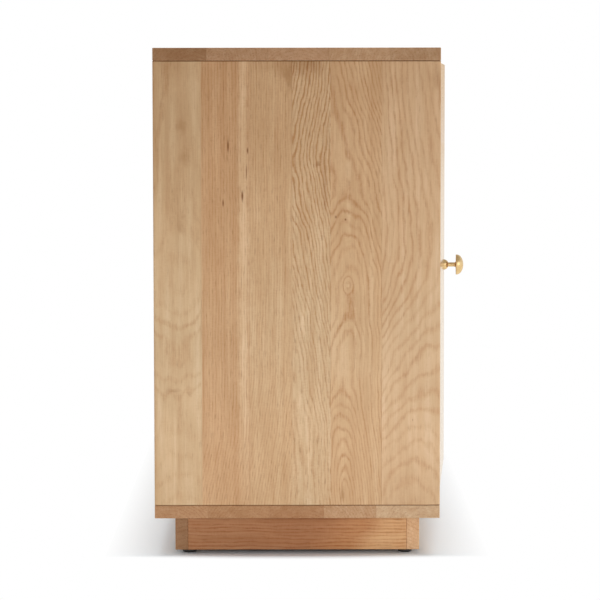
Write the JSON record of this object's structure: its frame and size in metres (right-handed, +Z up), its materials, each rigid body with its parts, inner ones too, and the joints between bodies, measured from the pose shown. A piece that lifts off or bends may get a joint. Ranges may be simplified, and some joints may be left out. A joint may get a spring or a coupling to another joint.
{
  "type": "media cabinet",
  "caption": "Low free-standing oak media cabinet with an open shelved centre bay between pivot-hung slab doors with brass mushroom knobs, on a recessed plinth.",
  "frame": {"origin": "on the floor, under the middle of the bounding box, with the left door ajar as at rest", "axes": "+X along the width to the right as seen from the front, the doors face -Y, +Z up"},
  "size_m": [1.8, 0.5156, 0.802],
  "materials": {
    "oak": "matte oiled, vertical staves on the sides and doors",
    "oak_veneer": "matte oak-faced board",
    "secondary_wood": "raw sawn",
    "dowel_wood": "raw turned",
    "knob_brass": "satin",
    "pivot_brass": "satin",
    "zinc_steel": "zinc plated",
    "black_plastic": "matte moulded",
    "magnet": "nickel plated"
  },
  "bodies": {
    "case": {"top_board": "oak", "bottom_board": "oak", "left_side_panel": "oak", "right_side_panel": "oak", "left_partition": "oak", "right_partition": "oak", "left_shelf": "oak", "right_shelf": "oak", "lower_centre_shelf": "oak", "upper_centre_shelf": "oak", "plinth_front_board": "oak", "plinth_back_board": "oak", "plinth_left_end": "oak", "plinth_right_end": "oak", "left_back_panel": "oak_veneer", "centre_back_panel": "oak_veneer", "right_back_panel": "oak_veneer", "plinth_corner_blocks": "secondary_wood", "plinth_left_rail": "secondary_wood", "plinth_right_rail": "secondary_wood", "case_dowels": "dowel_wood", "pivot_bushes": "pivot_brass", "shelf_pins": "zinc_steel", "foot_glides": "black_plastic", "left_catch_body": "black_plastic", "right_catch_body": "black_plastic", "catch_magnets": "magnet"},
    "left_door": {"left_door_panel": "oak", "left_door_pivots": "pivot_brass", "left_knob_rose": "knob_brass", "left_knob": "knob_brass", "left_knob_screw": "zinc_steel", "left_strike_plate": "zinc_steel"},
    "right_door": {"right_door_panel": "oak", "right_door_pivots": "pivot_brass", "right_knob_rose": "knob_brass", "right_knob": "knob_brass", "right_knob_screw": "zinc_steel", "right_strike_plate": "zinc_steel"}
  },
  "joints": [
    {"name": "left_door_pivot", "type": "hinge", "parent": "case", "child": "left_door", "pos_m": [-0.854, -0.18224, 0.432], "axis": [0, 0, -1], "range_deg": [-4.23, 100]},
    {"name": "right_door_pivot", "type": "hinge", "parent": "case", "child": "right_door", "pos_m": [0.854, -0.18224, 0.432], "axis": [0, 0, 1], "range_deg": [0, 104]}
  ]
}
